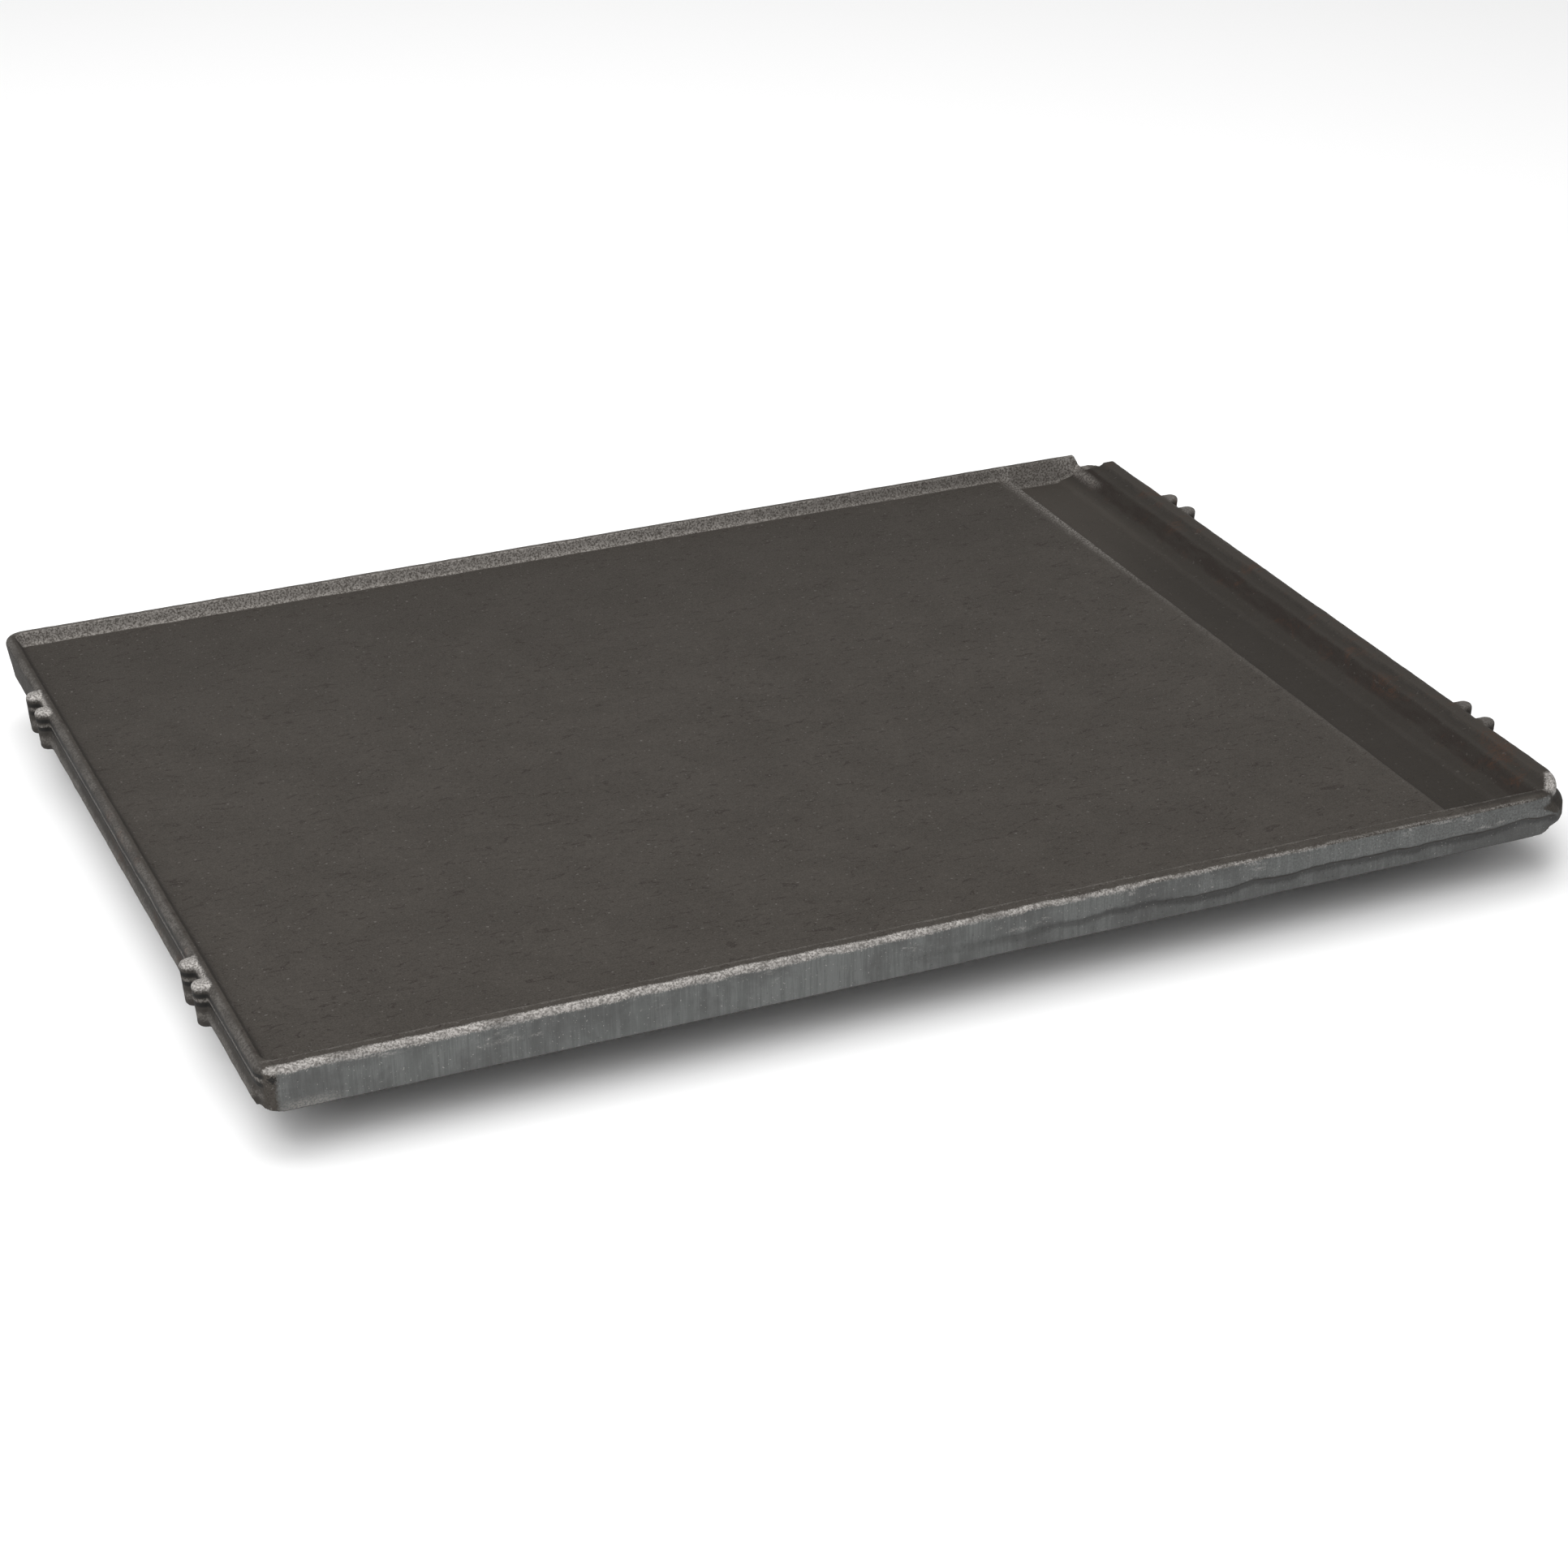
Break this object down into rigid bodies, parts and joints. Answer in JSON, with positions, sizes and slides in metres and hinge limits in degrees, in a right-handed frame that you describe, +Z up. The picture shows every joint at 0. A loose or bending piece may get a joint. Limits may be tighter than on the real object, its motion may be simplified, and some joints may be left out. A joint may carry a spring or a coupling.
{
  "type": "electric griddle",
  "caption": "Rectangular cast-iron electric griddle plate with a raised rim, side lugs, a grease trough with a pouring corner, and a clamped element under it.",
  "frame": {"origin": "on the table under the middle of the plate, at the underside of the foot pads", "axes": "+Z up, +X along the long side towards the grease trough, +Y from the front edge to the back edge where the inlet is"},
  "size_m": [0.5296, 0.4, 0.0385],
  "materials": {
    "iron": "seasoned sand-cast iron, ground front face",
    "sheath": "heat-tinted stainless sheath",
    "seal": "matt silicone",
    "contact": "bright nickel-plated",
    "phenolic": "moulded phenolic",
    "sheet_steel": "aluminised sheet",
    "zinc_steel": "dull zinc plate",
    "fastener": "zinc-plated steel",
    "mat": "needled glass-fibre mat",
    "pad_rubber": "matt black rubber"
  },
  "bodies": {
    "griddle": {"griddle_plate": "iron", "heating_element": "sheath", "end_seals": "seal", "contact_pins": "contact", "contact_block": "phenolic", "probe_sleeve": "sheath", "inlet_guard": "sheet_steel", "inlet_guard_screws": "fastener", "clamp_bar_1": "zinc_steel", "clamp_bar_2": "zinc_steel", "clamp_bar_3": "zinc_steel", "clamp_bar_4": "zinc_steel", "clamp_studs": "fastener", "clamp_washers": "fastener", "clamp_nuts": "fastener", "insulation_mat": "mat", "heat_shield_pan": "sheet_steel", "pan_screws": "fastener", "foot_lock_nuts": "fastener"},
    "foot_pad_front_left": {"foot_pad_front_left": "pad_rubber"},
    "foot_stud_front_left": {"foot_stud_front_left": "fastener"},
    "foot_pad_front_right": {"foot_pad_front_right": "pad_rubber"},
    "foot_stud_front_right": {"foot_stud_front_right": "fastener"},
    "foot_pad_back_left": {"foot_pad_back_left": "pad_rubber"},
    "foot_stud_back_left": {"foot_stud_back_left": "fastener"},
    "foot_pad_back_right": {"foot_pad_back_right": "pad_rubber"},
    "foot_stud_back_right": {"foot_stud_back_right": "fastener"}
  },
  "joints": [
    {"name": "foot_height_front_left", "type": "slide", "parent": "griddle", "child": "foot_pad_front_left", "axis": [0, 0, 1], "range_m": [-0.002, 0.002]},
    {"name": "foot_turn_front_left", "type": "hinge", "parent": "foot_pad_front_left", "child": "foot_stud_front_left", "pos_m": [-0.232, -0.13, 0.015], "axis": [0, 0, 1], "range_deg": [-580, 580]},
    {"name": "foot_height_front_right", "type": "slide", "parent": "griddle", "child": "foot_pad_front_right", "axis": [0, 0, 1], "range_m": [-0.002, 0.002]},
    {"name": "foot_turn_front_right", "type": "hinge", "parent": "foot_pad_front_right", "child": "foot_stud_front_right", "pos_m": [0.192, -0.13, 0.015], "axis": [0, 0, 1], "range_deg": [-580, 580]},
    {"name": "foot_height_back_left", "type": "slide", "parent": "griddle", "child": "foot_pad_back_left", "axis": [0, 0, 1], "range_m": [-0.002, 0.002]},
    {"name": "foot_turn_back_left", "type": "hinge", "parent": "foot_pad_back_left", "child": "foot_stud_back_left", "pos_m": [-0.232, 0.13, 0.015], "axis": [0, 0, 1], "range_deg": [-580, 580]},
    {"name": "foot_height_back_right", "type": "slide", "parent": "griddle", "child": "foot_pad_back_right", "axis": [0, 0, 1], "range_m": [-0.002, 0.002]},
    {"name": "foot_turn_back_right", "type": "hinge", "parent": "foot_pad_back_right", "child": "foot_stud_back_right", "pos_m": [0.192, 0.13, 0.015], "axis": [0, 0, 1], "range_deg": [-580, 580]}
  ],
  "couplings": [
    {"joint": "foot_turn_front_left", "follows": "foot_height_front_left", "rad_per_m": 5026.6},
    {"joint": "foot_turn_front_right", "follows": "foot_height_front_right", "rad_per_m": 5026.6},
    {"joint": "foot_turn_back_left", "follows": "foot_height_back_left", "rad_per_m": 5026.6},
    {"joint": "foot_turn_back_right", "follows": "foot_height_back_right", "rad_per_m": 5026.6}
  ]
}
